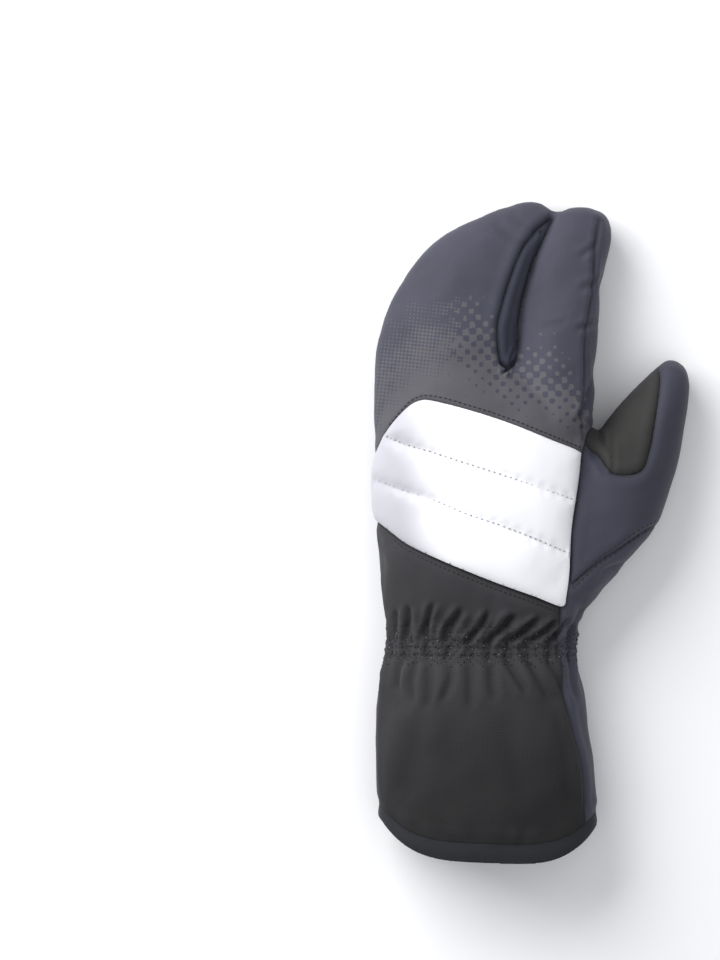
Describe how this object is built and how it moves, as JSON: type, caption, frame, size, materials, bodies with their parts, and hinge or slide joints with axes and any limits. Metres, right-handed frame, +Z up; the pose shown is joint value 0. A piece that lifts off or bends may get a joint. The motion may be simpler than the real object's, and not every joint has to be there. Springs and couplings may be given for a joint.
{
  "type": "lobster claw mitt",
  "caption": "Padded winter mitt for the left hand with thumb, separate index finger and wide finger compartment, gathered wrist and long cuff.",
  "frame": {"origin": "on the floor under the middle of the mitt's bounding box", "axes": "+X towards the thumb, +Y towards the fingertips, +Z up out of the back of the hand; the mitt lies palm down"},
  "size_m": [0.145, 0.302, 0.054],
  "materials": {
    "softshell_navy": "matt cloth",
    "cloth_charcoal": "matt cloth",
    "leather_black": "satin",
    "leather_smooth": "satin",
    "reflective_film": "satin",
    "binding_navy": "matt cloth"
  },
  "bodies": {
    "root": {"hem_binding": "binding_navy", "cuff_back": "cloth_charcoal", "cuff_palm": "softshell_navy", "wrist_gather": "cloth_charcoal", "back_band": "cloth_charcoal", "back_shell": "softshell_navy", "reflective_panel": "reflective_film", "thumb_back": "softshell_navy", "thumb_wedge": "cloth_charcoal", "palm_leather": "leather_black", "pad_fingers": "leather_smooth", "pad_heel": "leather_smooth", "index_leather": "leather_black", "index_tip_patch": "leather_smooth", "thumb_leather": "leather_black", "thumb_tip_patch": "leather_smooth"}
  },
  "joints": []
}
